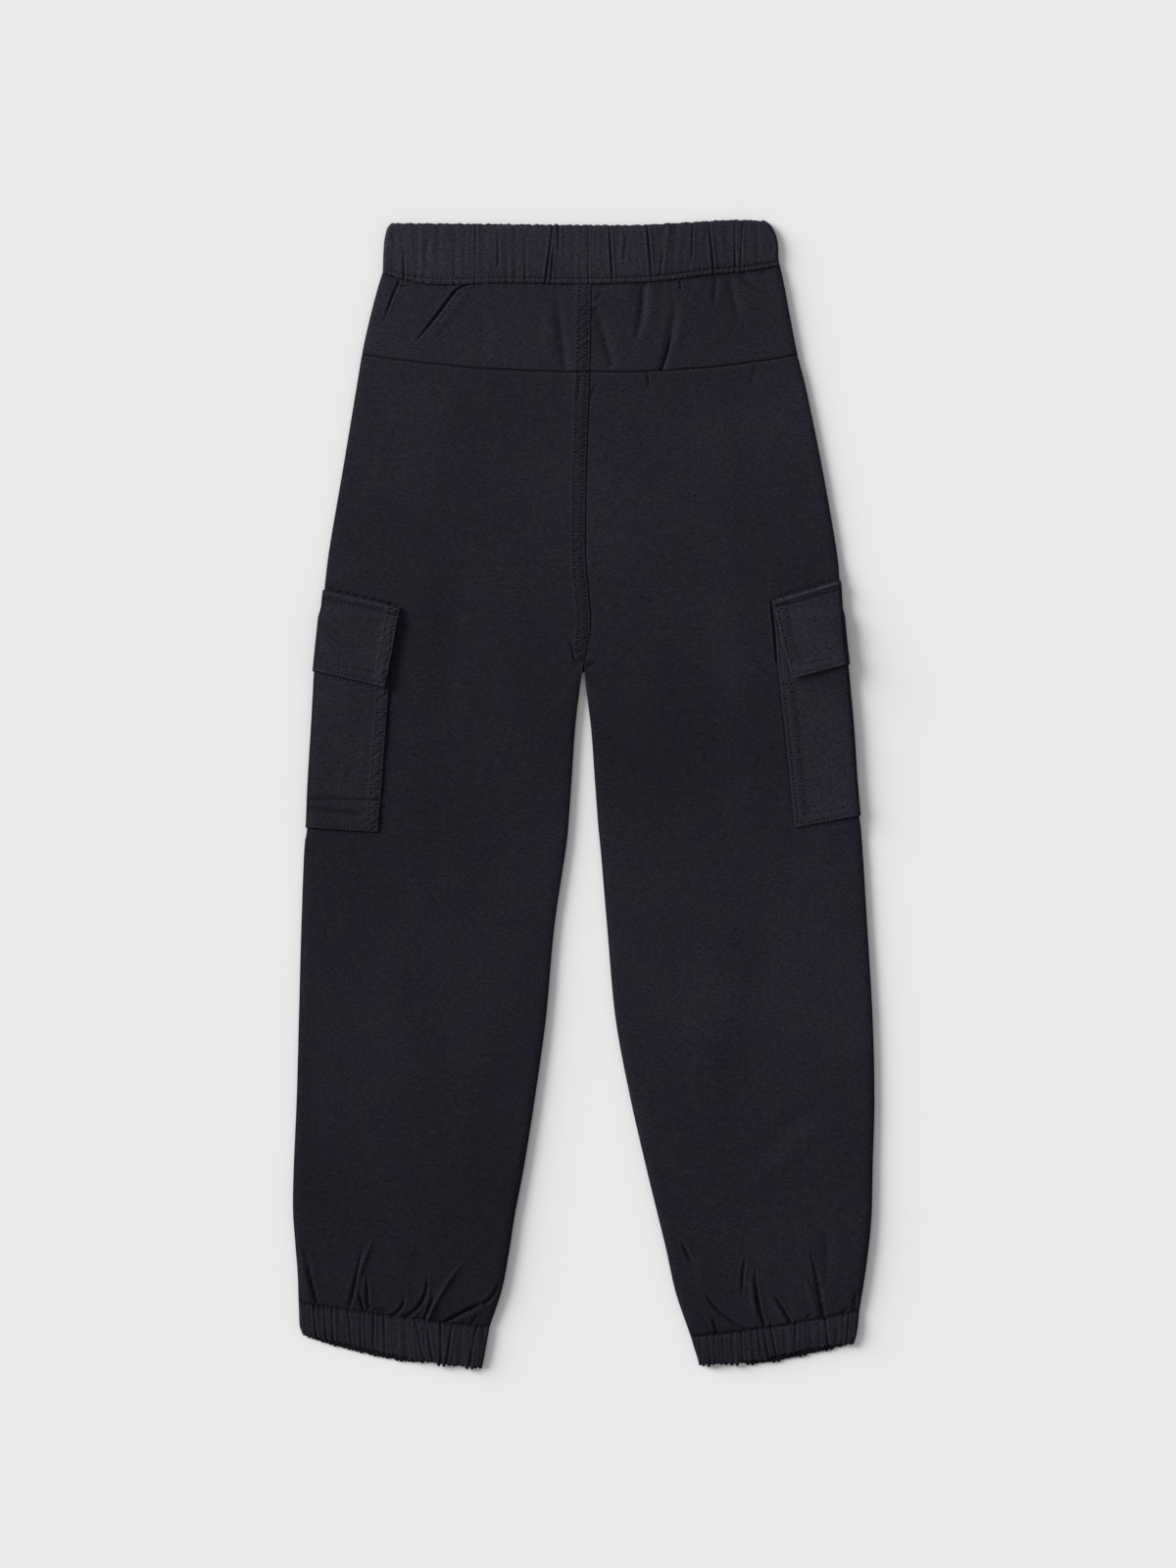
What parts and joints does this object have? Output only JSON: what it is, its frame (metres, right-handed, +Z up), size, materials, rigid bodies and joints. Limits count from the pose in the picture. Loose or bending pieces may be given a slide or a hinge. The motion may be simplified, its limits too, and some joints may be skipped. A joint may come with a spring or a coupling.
{
  "type": "balloon trousers",
  "caption": "Trousers with full curved legs gathered into elastic cuffs, an elastic waist, a back yoke and flapped patch pockets over the outseams, laid flat with the back side up.",
  "frame": {"origin": "middle of the outline of the trousers, on the surface that they lie on", "axes": "+Y along the legs towards the waist, +X towards the wearer's right leg, +Z up out of the back of the trousers"},
  "size_m": [0.4446, 0.8785, 0.0097],
  "materials": {
    "leg_twill": "matt, fine twill weave, dark navy-charcoal, mottled very faintly between navy and neutral",
    "casing_twill": "the same twill gathered over elastic, a little lighter where the gathers catch the light",
    "thread": "spun sewing thread, a shade darker than the cloth"
  },
  "bodies": {
    "root": {"waistband_back": "casing_twill", "waistband_front": "casing_twill", "back_yoke_left": "leg_twill", "back_yoke_right": "leg_twill", "back_leg_left": "leg_twill", "back_leg_right": "leg_twill", "front_leg_left": "leg_twill", "front_leg_right": "leg_twill", "cuff_left_back": "casing_twill", "cuff_left_front": "casing_twill", "cuff_right_back": "casing_twill", "cuff_right_front": "casing_twill", "pocket_left": "leg_twill", "pocket_right": "leg_twill", "flap_left": "leg_twill", "flap_right": "leg_twill"}
  },
  "joints": []
}
